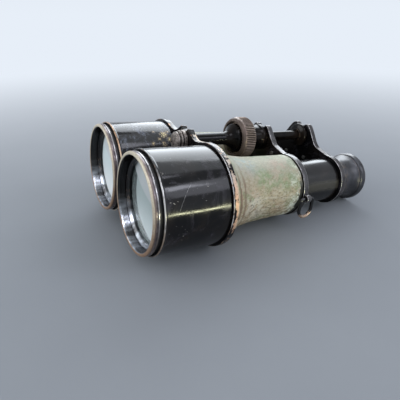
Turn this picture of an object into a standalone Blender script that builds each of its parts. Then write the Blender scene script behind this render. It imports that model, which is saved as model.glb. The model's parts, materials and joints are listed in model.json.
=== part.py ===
"""Antique Galilean field glasses: two brass telescopes on three bridges, focused by a wheel on a column.

Built in a straight frame of its own: the optical axes lie along +Y at z = 0, the objective rims near y = 0,
the eyepieces at the rear, the left barrel at +X and the focusing column above, at +Z. The rest_frame empty
then tips the whole object to the attitude in which it lies on a table, on its front bridge and its eyecups,
and puts the origin at the bottom centre of its bounding box. Left and right are the user's, looking from
the eyepieces.
"""

import math

import bpy

MM = 0.001

# Driving dimensions, in millimetres
BARREL_X = 32.55  # half the distance between the two optical axes
COLUMN_Z = 26.0  # height of the focusing column over the optical axes
GAP = 0.3  # clearance between neighbouring pieces
WALL = 0.9  # brass tube

RIM_FRONT, RIM_REAR = -1.2, 2.3  # faces of the objective's front ring
RIM_RADIUS = 30.1
RIM_FACE_RADIUS = 29.3  # where the ring's front face ends and its rounding begins
HOOD_RADIUS = 31.0
HOOD_FRONT, HOOD_REAR = 4.3, 45.2
BARREL_RADIUS, BARREL_BORE = 30.0, 28.85
NECK_RADIUS, NECK_REAR = 29.4, 6.5  # the barrel behind the objective's ring
COLLAR_RADIUS = 29.2  # the barrel where the front bridge is slipped over it

FRONT_PLATE = (45.5, 49.4)
MIDDLE_PLATE = (109.4, 113.4)
EYE_PLATE = (149.9, 153.9)
FRONT_RING, MIDDLE_RING, EYE_RING = 32.6, 21.8, 18.4

COVER_THICKNESS = 1.0
COVER_REAR_RADIUS = 20.95  # the leather's radius settles to this
COVER_FLARE = 7.05  # and is this much more at the start of the flare
COVER_START, COVER_DECAY = 51.0, 13.5

DRAW_RADIUS = 15.8
DRAW_WALL = 0.8
DRAW_FRONT = 76.0
LINING = (DRAW_RADIUS + GAP, DRAW_RADIUS + 0.9)  # the felt between draw tube and sleeve
SLEEVE_RADIUS = DRAW_RADIUS + 2.4
SLEEVE_FRONT = 84.0
EYE_NECK = 13.3  # the eye lens cell, where the rear bridge is slipped over it

SPINDLE_RADIUS = 3.5
COLUMN_RADIUS = 4.3
WHEEL_FRONT, WHEEL_REAR = 85.1, 95.5
WHEEL_RADIUS = 14.6
HUB_RADIUS = 8.5

EYECUP_RADIUS = 17.9
EYECUP_CONTACT = 176.0  # where the eyecup's rim touches the table
EYECUP_END, EYECUP_END_RADIUS = 177.0, 17.3

RING_WIRE = 1.15
RING_PIVOT = (BARREL_X + 23.6, -1.5)
RING_HALF_WIDTH = 6.4
RING_DROP = 15.4

SCREW_SHANK, SCREW_HEAD, SCREW_HEIGHT = 0.7, 1.4, 0.9
EYE_SCREWS = [(10.1, 10.2)]  # (x, z) on the left half
MIDDLE_SCREWS = [(17.0, 18.6)]

# Half outlines of the bridges, (x, z): crests over the column's axis, waists over the optical axes
FRONT_CREST = [
    (0, 6.6), (2.4, 7.2), (4.8, 8.9), (7.2, 7.6), (9.8, 5.8), (12.7, 4.4), (16.1, 3.7), (21.0, 4.2),
]
FRONT_WAIST = [(12.5, -25.8), (6.5, -21.6), (0, -20.2)]
MIDDLE_CREST = [
    (0, 7.4), (2.6, 7.8), (5.4, 9.6), (8.0, 8.3), (11.2, 4.4), (14.4, 0.8), (17.6, -2.0), (22.5, -3.8),
]
MIDDLE_WAIST = [(13.7, -10.9), (7.4, -7.6), (0, -6.6)]
EYE_CREST = [
    (0, 7.6), (2.6, 8.0), (5.6, 9.6), (8.4, 8.5), (11.6, 4.9), (14.4, 0.9), (17.2, -2.7), (21.0, -5.3),
    (26.0, -6.6),
]
EYE_WAIST = [(16.6, -9.2), (9.0, -5.6), (0, -4.4)]

STEPS = 24  # sides of a large turned piece
SMALL_STEPS = 16  # sides of a small one, or of a lens inside
SCREW_SIDES = 8

# The resting attitude: the rear lower edge of the front bridge and the two eyecup rims touch the table
TILT = math.atan2(FRONT_RING - EYECUP_RADIUS, EYECUP_CONTACT - FRONT_PLATE[1])
REST_HEIGHT = FRONT_PLATE[1] * math.sin(TILT) + FRONT_RING * math.cos(TILT)
FOREMOST = RIM_FRONT * math.cos(TILT) - RIM_FACE_RADIUS * math.sin(TILT)
REARMOST = EYECUP_END * math.cos(TILT) + EYECUP_END_RADIUS * math.sin(TILT)
REST_CENTRE = -(FOREMOST + REARMOST) / 2

SIDES = {"left": 1, "right": -1}


def clear_scene():
    for thing in list(bpy.data.objects):
        bpy.data.objects.remove(thing, do_unlink=True)


def material(name, colour, roughness, metallic):
    made = bpy.data.materials.new(name)
    made.use_nodes = True
    shader = made.node_tree.nodes["Principled BSDF"]
    shader.inputs["Base Color"].default_value = (*colour, 1)
    shader.inputs["Roughness"].default_value = roughness
    shader.inputs["Metallic"].default_value = metallic
    made.diffuse_color = (*colour, 1)
    return made


def empty(name, at=(0, 0, 0), parent=None):
    made = bpy.data.objects.new(name, None)
    made.location = [v * MM for v in at]
    made.parent = parent
    PARTS.objects.link(made)
    return made


def place(made, at, finish, parent):
    """Hangs an object on its body's empty, at a point given in the straight frame."""
    made.data.materials.append(finish)
    made.parent = parent
    origin = parent.location if parent is not REST else (0, 0, 0)
    made.location = [v * MM - o for v, o in zip(at, origin)]
    PARTS.objects.link(made)
    return made


def clockwise(points):
    """The same outline, wound so that a Screw about the vertical makes its faces point outwards."""
    pairs = zip(points, points[1:] + points[:1])
    doubled = sum(r0 * y1 - r1 * y0 for (y0, r0), (y1, r1) in pairs)
    return points if doubled < 0 else points[::-1]


def turned(name, profile, at, finish, parent, steps=STEPS):
    """A piece turned about the straight frame's Y axis from (y, radius) points in millimetres.

    A profile whose ends lie on the axis makes a solid piece, any other is a closed section and makes a ring.
    """
    solid = profile[0][1] == 0 and profile[-1][1] == 0
    points = clockwise(list(profile))
    mesh = bpy.data.meshes.new(name)
    edges = [(i, i + 1) for i in range(len(points) - 1)]
    if not solid:
        edges.append((len(points) - 1, 0))
    mesh.from_pydata([(r * MM, 0, y * MM) for y, r in points], edges, [])
    made = bpy.data.objects.new(name, mesh)
    screw = made.modifiers.new("Turn", "SCREW")
    screw.axis = "Z"
    screw.steps = screw.render_steps = steps
    screw.use_merge_vertices = True
    screw.merge_threshold = 0.00001
    screw.use_smooth_shade = True
    made.rotation_euler = (-math.pi / 2, 0, 0)
    return place(made, (at[0], 0, at[1]), finish, parent)


def plate(name, outlines, front, rear, finish, parent, at=(0, 0)):
    """A flat piece across the straight frame's Y axis.

    Its outlines are lists of (x, z): the first is the outside, and the rest are holes.
    """
    curve = bpy.data.curves.new(name, "CURVE")
    curve.dimensions = "2D"
    curve.fill_mode = "BOTH"
    curve.extrude = (rear - front) / 2 * MM
    for outline in outlines:
        spline = curve.splines.new("POLY")
        spline.points.add(len(outline) - 1)
        for point, (x, z) in zip(spline.points, outline):
            point.co = (x * MM, z * MM, 0, 1)
        spline.use_cyclic_u = True
    made = bpy.data.objects.new(name, curve)
    made.rotation_euler = (math.pi / 2, 0, 0)
    return place(made, (at[0], (front + rear) / 2, at[1]), finish, parent)


def circle(centre, radius, sides=STEPS):
    turns = [2 * math.pi * i / sides for i in range(sides)]
    return [(centre[0] + radius * math.cos(a), centre[1] + radius * math.sin(a)) for a in turns]


def catmull_rom(p, q, r, s, t):
    """The value at t, from 0 to 1, between q and r."""
    square = 2 * p - 5 * q + 4 * r - s
    cube = 3 * q - p - 3 * r + s
    return 0.5 * (2 * q + (r - p) * t + square * t**2 + cube * t**3)


def smooth(points, cuts=2):
    """A Catmull-Rom curve through the points, from the first to the last."""
    ends = [points[0], *points, points[-1]]
    found = [points[0]]
    for four in zip(ends, ends[1:], ends[2:], ends[3:]):
        for k in range(1, cuts + 1):
            found.append(tuple(catmull_rom(*axis, k / cuts) for axis in zip(*four)))
    return found


def bridge_outline(ring, crest, waist):
    """The outline of a bridge: half of it, and the same mirrored.

    The half runs along the crest from the top centre to the left ring, round the outside of the ring, and
    back along the waist to the bottom centre. The crest's heights are over the column's axis.
    """
    crest = smooth([(x, z + COLUMN_Z) for x, z in crest])
    waist = smooth(waist)
    start = math.atan2(crest[-1][1], crest[-1][0] - BARREL_X)
    stop = math.atan2(waist[0][1], waist[0][0] - BARREL_X)
    step = 2 * math.pi / STEPS
    first, last = math.ceil(start / step) - 1, math.floor(stop / step) + 1
    arc = [
        (BARREL_X + ring * math.cos(k * step), ring * math.sin(k * step))
        for k in range(first, last - 1, -1)
    ]
    half = crest + arc + waist
    return half + [(-x, z) for x, z in half[-2:0:-1]]


def bridge(name, ring, hole, hub, crest, waist, span, screw_holes, parent):
    """A flat bridge with a hole for each barrel, one for the column or spindle, and its screw holes."""
    outlines = [bridge_outline(ring, crest, waist), circle((0, COLUMN_Z), hub, SMALL_STEPS)]
    for side in SIDES.values():
        outlines.append(circle((side * BARREL_X, 0), hole))
        for x, z in screw_holes:
            outlines.append(circle((side * x, z), SCREW_SHANK + GAP, SCREW_SIDES))
    return plate(name, outlines, *span, BLACK, parent)


def screws(name, places, plate_span, parent):
    """Cheese-headed screws through a bridge, heads to the front."""
    front, rear = plate_span
    head = front - GAP
    for label, side in SIDES.items():
        for number, (x, z) in enumerate(places, 1):
            profile = [
                (head - SCREW_HEIGHT, 0),
                (head - SCREW_HEIGHT, SCREW_HEAD),
                (head, SCREW_HEAD),
                (head, SCREW_SHANK),
                (rear, SCREW_SHANK),
                (rear, 0),
            ]
            turned(f"{name}_{label}_{number}", profile, (side * x, z), STEEL, parent, SCREW_SIDES)


def cover_radius(y):
    """Outside radius of the leather, which flares to the front like a bell."""
    return COVER_REAR_RADIUS + COVER_FLARE * math.exp((COVER_START - y) / COVER_DECAY)


def spaced(first, last, count):
    return [first + (last - first) * i / (count - 1) for i in range(count)]


def barrel_pieces(label, x):
    """One telescope's fixed pieces, from the objective to the guide that the draw tube slides in."""
    at = (x, 0)
    seat, cell_rear = 26.2, 16.3
    turned(
        f"objective_cell_{label}",
        [
            (RIM_FRONT, 28.3), (RIM_FRONT, RIM_FACE_RADIUS), (-0.9, 29.8), (0.1, RIM_RADIUS),
            (RIM_REAR, RIM_RADIUS), (RIM_REAR, 28.5), (cell_rear, 28.5), (cell_rear, 24.4), (14.3, 24.4),
            (14.3, seat), (7.3, seat), (7.3, 27.4), (0.8, 27.4), (-0.7, 27.8),
        ],
        at, BLACK, REST,
    )
    turned(
        f"objective_retainer_{label}",
        [(4.0, 26.2), (4.0, 27.1), (7.0, 27.1), (7.0, 24.6), (5.4, 24.6), (4.8, 25.4), (4.8, 26.0)],
        at, BLACK, REST, SMALL_STEPS,
    )
    lens_radius, crown_edge = seat - GAP, (7.6, 9.0)
    front_sag, joint_sag = 3.0, 3.05
    rings = spaced(0, lens_radius, 4)
    curve = [(r / lens_radius) ** 2 for r in rings]
    crown = [(crown_edge[0] - front_sag * (1 - c), r) for c, r in zip(curve, rings)]
    joint = [(crown_edge[1] + joint_sag * (1 - c), r) for c, r in zip(curve, rings)]
    turned(f"objective_crown_lens_{label}", crown + joint[::-1], at, GLASS, REST, SMALL_STEPS)
    flint = [(y + GAP, r) for y, r in joint]
    flint_rear = 14.0
    flint += [(flint_rear, lens_radius), (flint_rear, 0)]
    turned(f"objective_flint_lens_{label}", flint, at, GLASS, REST, SMALL_STEPS)

    step_rear = FRONT_PLATE[1] + GAP
    flare = spaced(step_rear, MIDDLE_PLATE[0] - 2 * GAP, 7)
    outside = [(y, cover_radius(y) - COVER_THICKNESS - GAP) for y in flare]
    inside = [(y, r - WALL) for y, r in outside]
    turned(
        f"barrel_{label}",
        [
            (RIM_REAR + GAP, NECK_RADIUS), (NECK_REAR, NECK_RADIUS), (NECK_REAR, BARREL_RADIUS),
            (FRONT_PLATE[0] - GAP, BARREL_RADIUS), (FRONT_PLATE[0] - GAP, COLLAR_RADIUS),
            (step_rear, COLLAR_RADIUS), *outside, *inside[::-1],
            (step_rear - WALL, COLLAR_RADIUS - WALL), (FRONT_PLATE[0] - 2 * WALL, COLLAR_RADIUS - WALL),
            (FRONT_PLATE[0] - 2 * WALL, BARREL_BORE), (RIM_REAR + GAP, BARREL_BORE),
        ],
        at, BRASS, REST,
    )
    skin = [(y, cover_radius(y)) for y in spaced(step_rear + GAP, MIDDLE_PLATE[0] - GAP, 7)]
    turned(
        f"leather_cover_{label}",
        skin + [(y, r - COVER_THICKNESS) for y, r in skin[::-1]],
        at, LEATHER, REST,
    )
    sleeve_bore, flange_radius = LINING[1] + GAP, SLEEVE_RADIUS + 1
    flange_front = MIDDLE_PLATE[1] + GAP
    flange_rear = flange_front + 1.1
    turned(
        f"draw_tube_guide_{label}",
        [
            (SLEEVE_FRONT, sleeve_bore), (SLEEVE_FRONT, SLEEVE_RADIUS), (flange_front, SLEEVE_RADIUS),
            (flange_front, flange_radius), (flange_rear, flange_radius),
            (flange_rear, LINING[0]), (flange_front, LINING[0]), (flange_front, sleeve_bore),
        ],
        at, BRASS, REST,
    )
    felt = (SLEEVE_FRONT + 1, flange_front - GAP)
    turned(
        f"guide_lining_{label}",
        [(felt[0], LINING[0]), (felt[0], LINING[1]), (felt[1], LINING[1]), (felt[1], LINING[0])],
        at, FELT, REST,
    )


def hood(label, x):
    """The sliding sunshade, with a rolled lip at its front."""
    body = empty(f"sunshade_body_{label}", (x, 0, 0), REST)
    inside, lip = HOOD_RADIUS - 0.6, HOOD_RADIUS + 0.3
    turned(
        f"sunshade_{label}",
        [
            (HOOD_FRONT, inside), (HOOD_FRONT, lip), (HOOD_FRONT + 1.4, lip),
            (HOOD_FRONT + 1.9, HOOD_RADIUS), (HOOD_REAR, HOOD_RADIUS), (HOOD_REAR, inside),
        ],
        (x, 0), BLACK, body,
    )


def strap_ring(label, side):
    """A D-shaped wire ring whose bar turns in a lug on the middle bridge, parallel to the barrels."""
    pivot_x, pivot_z = side * RING_PIVOT[0], RING_PIVOT[1]
    middle = sum(MIDDLE_PLATE) / 2
    foot = side * (BARREL_X + MIDDLE_RING + GAP)
    eye, hole = 2.5, RING_WIRE + GAP
    rounded = [
        (pivot_x + side * eye * math.cos(a), pivot_z + eye * math.sin(a))
        for a in spaced(-math.pi / 2, math.pi / 2, 9)
    ]
    lug = rounded + [(foot, pivot_z + eye), (foot, pivot_z - eye)]
    plate(
        f"strap_lug_{label}",
        [lug, circle((pivot_x, pivot_z), hole, SMALL_STEPS)],
        MIDDLE_PLATE[0] + GAP, MIDDLE_PLATE[1] - GAP, BLACK, REST,
    )
    body = empty(f"strap_ring_body_{label}", (pivot_x, middle, pivot_z), REST)
    curve = bpy.data.curves.new(f"strap_ring_{label}", "CURVE")
    curve.dimensions = "3D"
    curve.bevel_depth = RING_WIRE * MM
    curve.bevel_resolution = 2
    corner = 1.6
    bow = RING_HALF_WIDTH - RING_WIRE
    drop = RING_DROP - 2 * RING_WIRE
    bow_centre = -(drop - bow)
    bar = [(y, 0) for y in spaced(-bow + corner, bow - corner, 3)]
    elbow = [
        (bow - corner * (1 - math.sin(a)), -corner * (1 - math.cos(a))) for a in spaced(0, math.pi / 2, 5)
    ]
    arch = [(bow * math.cos(a), bow_centre - bow * math.sin(a)) for a in spaced(0, math.pi, 13)]
    route = bar[:-1] + elbow + arch + [(-y, z) for y, z in elbow[:0:-1]]
    spline = curve.splines.new("POLY")
    spline.points.add(len(route) - 1)
    for point, (y, z) in zip(spline.points, route):
        point.co = (0, y * MM, z * MM, 1)
    spline.use_cyclic_u = True
    made = bpy.data.objects.new(f"strap_ring_{label}", curve)
    place(made, (pivot_x, middle, pivot_z), BLACK, body)


def column():
    """The fixed tube from the front bridge to the wheel, its finial, and the bearing behind the wheel."""
    axis = (0, COLUMN_Z)
    bore = SPINDLE_RADIUS + GAP
    turned(
        "column_tube",
        [
            (41.0, bore), (41.0, COLUMN_RADIUS), (76.0, COLUMN_RADIUS), (79.0, 4.9), (81.5, 6.4),
            (83.4, 8.6), (84.6, 10.0), (87.4, 10.2), (87.4, bore),
        ],
        axis, BLACK, REST, SMALL_STEPS,
    )
    rear = FRONT_PLATE[0] - GAP
    finial = [
        (37.6, 0), (37.8, 4.0), (38.5, 5.4), (39.4, 6.0), (40.2, 6.0), (40.6, 5.5), (41.1, 6.4),
        (42.0, 6.6), (42.4, 6.0), (43.0, 6.9), (rear, 7.1), (rear, COLUMN_RADIUS + GAP),
        (40.6, COLUMN_RADIUS + GAP), (40.6, 0),
    ]
    turned("column_finial", finial, axis, BRASS, REST, SMALL_STEPS)
    front, rear = WHEEL_REAR + GAP, MIDDLE_PLATE[0] - GAP
    turned(
        "wheel_bearing",
        [
            (front, bore), (front, HUB_RADIUS), (105.8, HUB_RADIUS), (106.4, 9.3), (rear, 9.3), (rear, bore),
        ],
        axis, BLACK, REST, SMALL_STEPS,
    )


def focus_wheel(body):
    """The wheel and the threaded nut that it turns."""
    axis = (0, COLUMN_Z)
    bore, recess, recess_floor = 6.3, 11.6, 88.1
    turned(
        "focus_wheel",
        [
            (recess_floor, bore), (recess_floor, recess), (WHEEL_FRONT, recess), (WHEEL_FRONT, 12.6),
            (85.9, 13.7), (87.8, WHEEL_RADIUS - 0.2), (88.4, WHEEL_RADIUS), (94.9, WHEEL_RADIUS),
            (WHEEL_REAR, WHEEL_RADIUS - 0.6), (WHEEL_REAR, bore),
        ],
        axis, WHEEL_BRASS, body, 2 * SMALL_STEPS,
    )
    bore_thread = SPINDLE_RADIUS + GAP
    turned(
        "focus_nut",
        [
            (recess_floor, bore_thread), (recess_floor, bore - GAP), (WHEEL_REAR, bore - GAP),
            (WHEEL_REAR, bore_thread),
        ],
        axis, BRASS, body, SMALL_STEPS,
    )


def eyepiece_pieces(label, x, body):
    """One side of the sliding eyepiece assembly."""
    at = (x, 0)
    tube_rear = EYE_PLATE[0] - GAP
    inside = DRAW_RADIUS - DRAW_WALL
    turned(
        f"draw_tube_{label}",
        [
            (DRAW_FRONT, inside), (DRAW_FRONT, DRAW_RADIUS), (tube_rear, DRAW_RADIUS), (tube_rear, inside),
        ],
        at, BLACK, body,
    )
    stop = DRAW_RADIUS + GAP, DRAW_RADIUS + 1.9
    turned(
        f"draw_tube_stop_{label}",
        [(DRAW_FRONT, stop[0]), (DRAW_FRONT, stop[1]), (79.0, stop[1]), (79.0, stop[0])],
        at, BRASS, body,
    )
    washer = inside - GAP
    turned(
        f"light_stop_{label}",
        [(78.0, 12.0), (78.0, washer), (79.0, washer), (79.0, 12.0)],
        at, BLACK, body, SMALL_STEPS,
    )
    throat, cell_front, cell_rear = 9.2, 143.0, 157.0
    seat, seat_front = 11.0, 149.8
    turned(
        f"eye_lens_cell_{label}",
        [
            (cell_front, throat), (cell_front, washer), (tube_rear, washer), (tube_rear, EYE_NECK),
            (cell_rear, EYE_NECK), (cell_rear, seat), (seat_front, seat), (seat_front, throat),
        ],
        at, BRASS, body,
    )
    lens_radius, front, rear, hollow = seat - GAP, 150.1, 154.0, 1.1
    turned(
        f"eye_lens_{label}",
        [
            (front + hollow, 0), (front + hollow * 0.75, lens_radius / 2), (front, lens_radius),
            (rear, lens_radius), (rear - hollow * 0.75, lens_radius / 2), (rear - hollow, 0),
        ],
        at, GLASS, body, SMALL_STEPS,
    )
    turned(
        f"eye_lens_retainer_{label}",
        [(154.3, 9.4), (154.3, lens_radius), (156.6, lens_radius), (156.6, 9.4)],
        at, BRASS, body, SMALL_STEPS,
    )
    cup_front = EYE_PLATE[1] + GAP
    turned(
        f"eyecup_{label}",
        [
            (cup_front, EYE_NECK + GAP), (cup_front, 15.5), (156.6, 15.5), (157.2, 14.9), (162.5, 14.8),
            (167.0, 15.2), (170.2, 16.0), (171.6, 16.7), (172.0, 16.4), (172.6, 17.3), (174.0, 17.8),
            (EYECUP_CONTACT, EYECUP_RADIUS), (EYECUP_END, EYECUP_END_RADIUS), (EYECUP_END, 16.6),
            (175.0, 15.6), (169.0, 13.6), (162.0, 11.6), (158.6, 10.2), (157.3, 9.6),
            (157.3, EYE_NECK + GAP),
        ],
        at, EBONITE, body,
    )


def eyepieces(body):
    """What the wheel moves: the rear bridge on its spindle, and both draw tubes."""
    axis = (0, COLUMN_Z)
    stud, stud_end = 2.4, 156.6
    turned(
        "focus_spindle",
        [
            (DRAW_FRONT, 0), (DRAW_FRONT, SPINDLE_RADIUS), (EYE_PLATE[0] - GAP, SPINDLE_RADIUS),
            (EYE_PLATE[0] - GAP, stud), (stud_end, stud), (stud_end, 0),
        ],
        axis, BLACK, body, SMALL_STEPS,
    )
    boss_rear = EYE_PLATE[0] - GAP
    bore = SPINDLE_RADIUS + GAP
    turned(
        "spindle_boss",
        [
            (boss_rear, bore), (boss_rear, 8.8), (147.4, 8.8), (147.0, 8.4), (147.0, 4.9),
            (145.9, 4.9), (145.9, bore),
        ],
        axis, BLACK, body, SMALL_STEPS,
    )
    nut_front = EYE_PLATE[1] + GAP
    turned(
        "spindle_cap_nut",
        [
            (nut_front, stud + GAP), (nut_front, 5.2), (156.6, 5.2), (157.8, 4.2), (158.4, 2.2), (158.6, 0),
            (stud_end + GAP, 0), (stud_end + GAP, stud + GAP),
        ],
        axis, BLACK, body, SMALL_STEPS,
    )
    bridge(
        "eyepiece_bridge", EYE_RING, EYE_NECK + GAP, stud + GAP,
        EYE_CREST, EYE_WAIST, EYE_PLATE, EYE_SCREWS, body,
    )
    screws("eyepiece_bridge_screw", EYE_SCREWS, EYE_PLATE, body)
    for label, side in SIDES.items():
        eyepiece_pieces(label, side * BARREL_X, body)


clear_scene()
PARTS = bpy.data.collections.new("field_glasses")
bpy.context.scene.collection.children.link(PARTS)

BLACK = material("black_japanned_brass", (0.012, 0.012, 0.014), 0.22, 0.3)
BRASS = material("lacquered_brass", (0.55, 0.36, 0.16), 0.35, 1.0)
WHEEL_BRASS = material("oxidised_brass", (0.13, 0.09, 0.07), 0.5, 0.8)
STEEL = material("screw_steel", (0.45, 0.45, 0.43), 0.35, 1.0)
LEATHER = material("faded_leather", (0.3, 0.31, 0.24), 0.85, 0.0)
GLASS = material("lens_glass", (0.75, 0.82, 0.78), 0.03, 0.0)
FELT = material("guide_felt", (0.06, 0.05, 0.05), 0.95, 0.0)
EBONITE = material("eyecup_ebonite", (0.03, 0.03, 0.035), 0.4, 0.0)

REST = empty("rest_frame", (0, REST_CENTRE, REST_HEIGHT))
REST.rotation_euler = (-TILT, 0, 0)

bridge(
    "front_bridge", FRONT_RING, COLLAR_RADIUS + GAP, COLUMN_RADIUS + GAP,
    FRONT_CREST, FRONT_WAIST, FRONT_PLATE, [], REST,
)
bridge(
    "middle_bridge", MIDDLE_RING, SLEEVE_RADIUS + GAP, SPINDLE_RADIUS + GAP,
    MIDDLE_CREST, MIDDLE_WAIST, MIDDLE_PLATE, MIDDLE_SCREWS, REST,
)
screws("middle_bridge_screw", MIDDLE_SCREWS, MIDDLE_PLATE, REST)
column()
for side_label, side_sign in SIDES.items():
    barrel_pieces(side_label, side_sign * BARREL_X)
    hood(side_label, side_sign * BARREL_X)
    strap_ring(side_label, side_sign)

focus_wheel(empty("focus_wheel_body", (0, 0, COLUMN_Z), REST))
eyepieces(empty("eyepiece_body", (0, 0, COLUMN_Z), REST))
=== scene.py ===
import json
import math

import bmesh
import bpy
import numpy as np
from mathutils import Matrix, Vector


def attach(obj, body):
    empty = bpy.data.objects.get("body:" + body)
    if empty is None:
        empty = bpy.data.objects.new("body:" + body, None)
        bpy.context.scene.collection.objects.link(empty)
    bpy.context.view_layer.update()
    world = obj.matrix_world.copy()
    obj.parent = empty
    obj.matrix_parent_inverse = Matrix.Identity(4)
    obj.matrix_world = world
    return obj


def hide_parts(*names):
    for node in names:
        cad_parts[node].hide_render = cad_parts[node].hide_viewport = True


# Antique field glasses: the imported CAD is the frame, and every piece that shows is rebuilt here as a fine mesh.
# Sizes are in millimetres, in the CAD's straight frame: optical axes along +Y at z = 0, objective rims near y = 0.

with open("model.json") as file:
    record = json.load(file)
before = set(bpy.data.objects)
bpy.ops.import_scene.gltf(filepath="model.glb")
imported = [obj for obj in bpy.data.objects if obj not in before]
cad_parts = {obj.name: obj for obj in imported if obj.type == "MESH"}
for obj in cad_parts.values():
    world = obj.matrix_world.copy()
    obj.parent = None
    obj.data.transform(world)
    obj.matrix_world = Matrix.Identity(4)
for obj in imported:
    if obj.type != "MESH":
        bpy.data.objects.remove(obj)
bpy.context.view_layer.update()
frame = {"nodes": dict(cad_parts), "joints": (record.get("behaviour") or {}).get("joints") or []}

MM = 0.001
BARREL_X = 32.55
COLUMN_Z = 26.0
SIDES = {"left": 1, "right": -1}
LIT_POINT = (0.03, -0.05, 0.04)  # metres: where the lights look

# The straight frame's place, from the wheel's joint, whose point is at y = 90.3 on the column
JOINTS = {joint["name"]: joint for joint in frame["joints"]}
WHEEL_JOINT = JOINTS["focus_wheel_turn"]
AXIS = Vector(WHEEL_JOINT["axis"]).normalized()
TILT = math.atan2(-AXIS.z, AXIS.y)
STRAIGHT = Matrix.Rotation(-TILT, 4, "X")
STRAIGHT.translation = Vector(WHEEL_JOINT["pos_m"]) - STRAIGHT @ Vector((0, 0.0903, 0.026))


# ---------------------------------------------------------------- materials

class Look:
    """A material built node by node. Its positions are the mesh attribute mm, so they stay with the piece."""

    def __init__(self, name, from_object=False):
        self.material = bpy.data.materials.new(name)
        self.material.use_nodes = True
        self.tree = self.material.node_tree
        self.shader = self.tree.nodes["Principled BSDF"]
        if from_object:
            scaled = self.add("ShaderNodeVectorMath", operation="SCALE")
            self.link(self.add("ShaderNodeTexCoord").outputs["Object"], scaled.inputs[0])
            scaled.inputs["Scale"].default_value = 1 / MM
            self.place = scaled.outputs[0]
            self.edge = None
        else:
            self.place = self.add("ShaderNodeAttribute", attribute_name="mm").outputs["Vector"]
            self.edge = self.add("ShaderNodeAttribute", attribute_name="edge").outputs["Fac"]

    def add(self, kind, **settings):
        node = self.tree.nodes.new(kind)
        for key, value in settings.items():
            setattr(node, key, value)
        return node

    def link(self, source, target):
        """Joins a socket to an input, or sets the input to a plain value."""
        if isinstance(source, bpy.types.NodeSocket):
            self.tree.links.new(source, target)
        elif isinstance(source, (tuple, list)) and len(source) == 3 and target.type == "RGBA":
            target.default_value = (*source, 1)
        else:
            target.default_value = source

    def math(self, operation, *values, clamp=False):
        node = self.add("ShaderNodeMath", operation=operation, use_clamp=clamp)
        for value, target in zip(values, node.inputs):
            self.link(value, target)
        return node.outputs[0]

    def mul(self, a, b):
        return self.math("MULTIPLY", a, b)

    def plus(self, a, b):
        return self.math("ADD", a, b)

    def minus(self, a, b):
        return self.math("SUBTRACT", a, b)

    def most(self, a, b):
        """The greater of two shares, held between 0 and 1."""
        return self.math("MAXIMUM", a, b, clamp=True)

    def split(self):
        node = self.add("ShaderNodeSeparateXYZ")
        self.link(self.place, node.inputs[0])
        return node.outputs

    def stretched(self, x, y, z, turn=0.0):
        """The place, turned about the barrel's side and scaled on each axis."""
        node = self.add("ShaderNodeMapping")
        self.link(self.place, node.inputs["Vector"])
        node.inputs["Rotation"].default_value = (turn, turn * 0.7, turn * 0.4)
        node.inputs["Scale"].default_value = (x, y, z)
        return node.outputs[0]

    def noise(self, scale, detail=3.0, roughness=0.55, place=None, distortion=0.0):
        node = self.add("ShaderNodeTexNoise")
        self.link(place or self.place, node.inputs["Vector"])
        node.inputs["Scale"].default_value = scale
        node.inputs["Detail"].default_value = detail
        node.inputs["Roughness"].default_value = roughness
        node.inputs["Distortion"].default_value = distortion
        return node.outputs["Fac"]

    def drift(self, *settings, **more):
        """Noise about zero, which makes a boundary wander."""
        return self.minus(self.noise(*settings, **more), 0.5)

    def cells(self, scale, feature="F1", place=None):
        node = self.add("ShaderNodeTexVoronoi", feature=feature)
        self.link(place or self.place, node.inputs["Vector"])
        node.inputs["Scale"].default_value = scale
        return node.outputs["Distance"]

    def ramp(self, value, low, high, to_low=0.0, to_high=1.0):
        """Smoothly from to_low at low to to_high at high."""
        node = self.add("ShaderNodeMapRange", interpolation_type="SMOOTHSTEP")
        for key, number in (("Value", value), ("From Min", low), ("From Max", high),
                            ("To Min", to_low), ("To Max", to_high)):
            self.link(number, node.inputs[key])
        return node.outputs["Result"]

    def mix(self, share, first, second):
        node = self.add("ShaderNodeMix", data_type="RGBA")
        self.link(share, node.inputs[0])
        self.link(first, node.inputs[6])
        self.link(second, node.inputs[7])
        return node.outputs[2]

    def near(self, point, radius, soft, ragged=0.0):
        """1 within a radius of a point in millimetres, with a ragged edge."""
        node = self.add("ShaderNodeVectorMath", operation="DISTANCE")
        self.link(self.place, node.inputs[0])
        node.inputs[1].default_value = point
        away = node.outputs["Value"]
        if ragged:
            away = self.plus(away, self.mul(self.drift(0.9, 4), ragged))
        return self.ramp(away, radius + soft, radius - soft)

    def around(self):
        """The distance from the turning axis."""
        x, y, z = self.split()
        flat = self.add("ShaderNodeCombineXYZ")
        self.link(x, flat.inputs[0])
        self.link(z, flat.inputs[2])
        node = self.add("ShaderNodeVectorMath", operation="LENGTH")
        self.link(flat.outputs[0], node.inputs[0])
        return node.outputs["Value"]

    def hairlines(self, scale, turn, share):
        """Long thin scratches, which wander a little and come and go."""
        field = self.noise(scale, 0.6, 0.4, place=self.stretched(0.6, 1.0, 0.6, turn))
        line = self.ramp(self.math("ABSOLUTE", self.minus(field, 0.5)), 0.0022, 0.0)
        return self.mul(line, self.ramp(self.noise(0.09, 2), 1 - share, 1.06 - share))

    def blend(self, share, first, second):
        node = self.add("ShaderNodeMix", data_type="FLOAT")
        self.link(share, node.inputs[0])
        self.link(first, node.inputs[2])
        self.link(second, node.inputs[3])
        return node.outputs[0]

    def set(self, **inputs):
        for key, value in inputs.items():
            self.link(value, self.shader.inputs[key.replace("_", " ")])

    def bump(self, height, distance, strength=1.0, under=None):
        node = self.add("ShaderNodeBump")
        self.link(height, node.inputs["Height"])
        node.inputs["Distance"].default_value = distance * MM
        node.inputs["Strength"].default_value = strength
        if under:
            self.link(under, node.inputs["Normal"])
        return node.outputs[0]


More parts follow.
